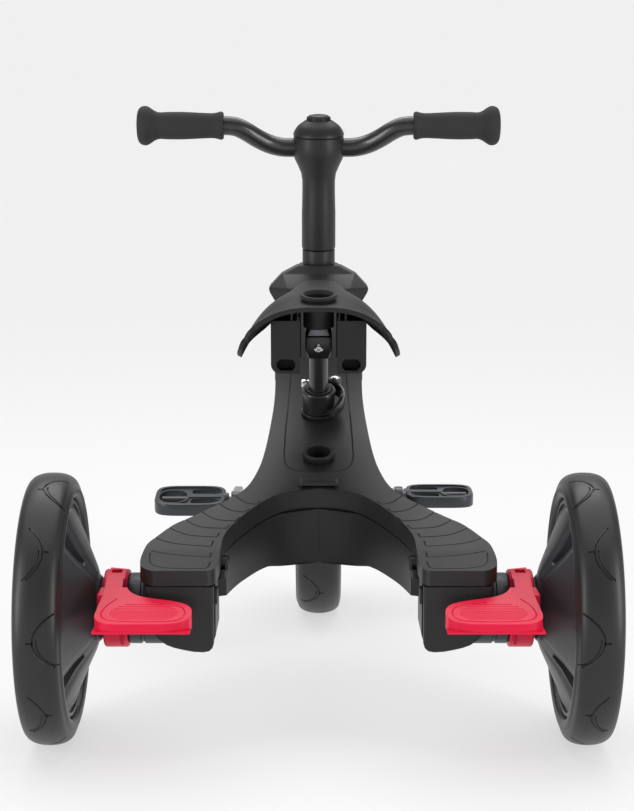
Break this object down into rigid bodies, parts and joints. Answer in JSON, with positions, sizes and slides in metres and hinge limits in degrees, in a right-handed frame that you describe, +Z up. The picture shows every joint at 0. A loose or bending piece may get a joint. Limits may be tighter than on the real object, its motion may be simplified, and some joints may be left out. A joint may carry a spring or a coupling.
{
  "type": "children's tricycle",
  "caption": "Child's pedal tricycle: moulded Y-shaped frame, sliding saddle post, leaning steering column with cranked handlebar, pedalled front wheel and foot-braked rear wheels.",
  "frame": {"origin": "on the floor under the middle of the tricycle's bounding box", "axes": "+X to the rider's right, +Y forwards, +Z up"},
  "size_m": [0.4888, 0.698, 0.5456],
  "materials": {
    "frame_plastic": "satin moulded",
    "saddle_plastic": "fine grained moulded",
    "housing_plastic": "satin moulded",
    "tyre_rubber": "satin",
    "grip_rubber": "matt",
    "brake_red": "satin moulded",
    "black_steel": "satin powder coat",
    "bright_steel": "zinc plated"
  },
  "bodies": {
    "frame": {"frame_shell": "frame_plastic", "deck_cover": "frame_plastic", "head_cover": "frame_plastic", "head_tube": "black_steel", "lower_bearing": "bright_steel", "upper_bearing": "bright_steel", "left_axle_carrier": "frame_plastic", "right_axle_carrier": "frame_plastic", "left_axle_housing": "housing_plastic", "right_axle_housing": "housing_plastic", "left_axle": "bright_steel", "right_axle": "bright_steel", "seat_tube": "black_steel", "seat_clamp": "frame_plastic", "clamp_bolt": "bright_steel", "push_bar_socket": "frame_plastic"},
    "clamp_lever": {"clamp_lever": "frame_plastic"},
    "push_bar_button": {"push_bar_button": "frame_plastic"},
    "left_latch": {"left_latch": "frame_plastic"},
    "right_latch": {"right_latch": "frame_plastic"},
    "seat": {"seat_shell": "saddle_plastic", "seat_box": "saddle_plastic", "backrest_socket": "saddle_plastic", "seat_post": "black_steel", "post_head": "black_steel", "seat_bolt": "bright_steel", "seat_plate": "bright_steel"},
    "steering": {"fork": "black_steel", "steering_collar": "frame_plastic", "column_sleeve": "frame_plastic", "handlebar_clamp": "frame_plastic", "handlebar_clamp_cap": "frame_plastic", "clamp_knob": "frame_plastic", "handlebar": "black_steel", "left_grip": "grip_rubber", "right_grip": "grip_rubber", "left_fork_bearing": "bright_steel", "right_fork_bearing": "bright_steel"},
    "front_wheel": {"front_tyre": "tyre_rubber", "front_rim": "frame_plastic", "front_axle": "bright_steel", "left_crank": "black_steel", "right_crank": "black_steel"},
    "left_pedal": {"left_pedal": "frame_plastic"},
    "right_pedal": {"right_pedal": "frame_plastic"},
    "left_wheel": {"left_tyre": "tyre_rubber", "left_rim": "frame_plastic", "left_bush": "black_steel", "left_hub_cap": "frame_plastic"},
    "right_wheel": {"right_tyre": "tyre_rubber", "right_rim": "frame_plastic", "right_bush": "black_steel", "right_hub_cap": "frame_plastic"},
    "left_brake": {"left_brake_pedal": "brake_red"},
    "right_brake": {"right_brake_pedal": "brake_red"}
  },
  "joints": [
    {"name": "steering", "type": "hinge", "parent": "frame", "child": "steering", "pos_m": [0, 0.224, 0.125], "axis": [0, -0.1736, 0.9848], "range_deg": [-40, 40]},
    {"name": "front_wheel_spin", "type": "hinge", "parent": "steering", "child": "front_wheel", "pos_m": [0, 0.224, 0.125], "axis": [1, 0, 0], "continuous": true},
    {"name": "left_pedal_spin", "type": "hinge", "parent": "front_wheel", "child": "left_pedal", "pos_m": [-0.138, 0.16458, 0.13335], "axis": [1, 0, 0], "continuous": true},
    {"name": "right_pedal_spin", "type": "hinge", "parent": "front_wheel", "child": "right_pedal", "pos_m": [0.138, 0.28342, 0.11665], "axis": [1, 0, 0], "continuous": true},
    {"name": "left_wheel_spin", "type": "hinge", "parent": "frame", "child": "left_wheel", "pos_m": [-0.2256, -0.234, 0.115], "axis": [1, 0, 0], "continuous": true},
    {"name": "right_wheel_spin", "type": "hinge", "parent": "frame", "child": "right_wheel", "pos_m": [0.2256, -0.234, 0.115], "axis": [1, 0, 0], "continuous": true},
    {"name": "left_brake_press", "type": "hinge", "parent": "frame", "child": "left_brake", "pos_m": [-0.17, -0.234, 0.115], "axis": [1, 0, 0], "range_deg": [0, 18]},
    {"name": "right_brake_press", "type": "hinge", "parent": "frame", "child": "right_brake", "pos_m": [0.17, -0.234, 0.115], "axis": [1, 0, 0], "range_deg": [0, 18]},
    {"name": "seat_height", "type": "slide", "parent": "frame", "child": "seat", "axis": [0, -0.3827, 0.9239], "range_m": [-0.018, 0.035]},
    {"name": "clamp_lever_open", "type": "hinge", "parent": "frame", "child": "clamp_lever", "pos_m": [0.0156, 0.01367, 0.2759], "axis": [0, -0.3827, 0.9239], "range_deg": [0, 100]},
    {"name": "push_bar_button_press", "type": "slide", "parent": "frame", "child": "push_bar_button", "axis": [0, 0, -1], "range_m": [0, 0.002], "stiffness_N_per_m": 400},
    {"name": "left_latch_press", "type": "slide", "parent": "frame", "child": "left_latch", "axis": [-1, 0, 0], "range_m": [0, 0.003], "stiffness_N_per_m": 400},
    {"name": "right_latch_press", "type": "slide", "parent": "frame", "child": "right_latch", "axis": [1, 0, 0], "range_m": [0, 0.003], "stiffness_N_per_m": 400}
  ]
}
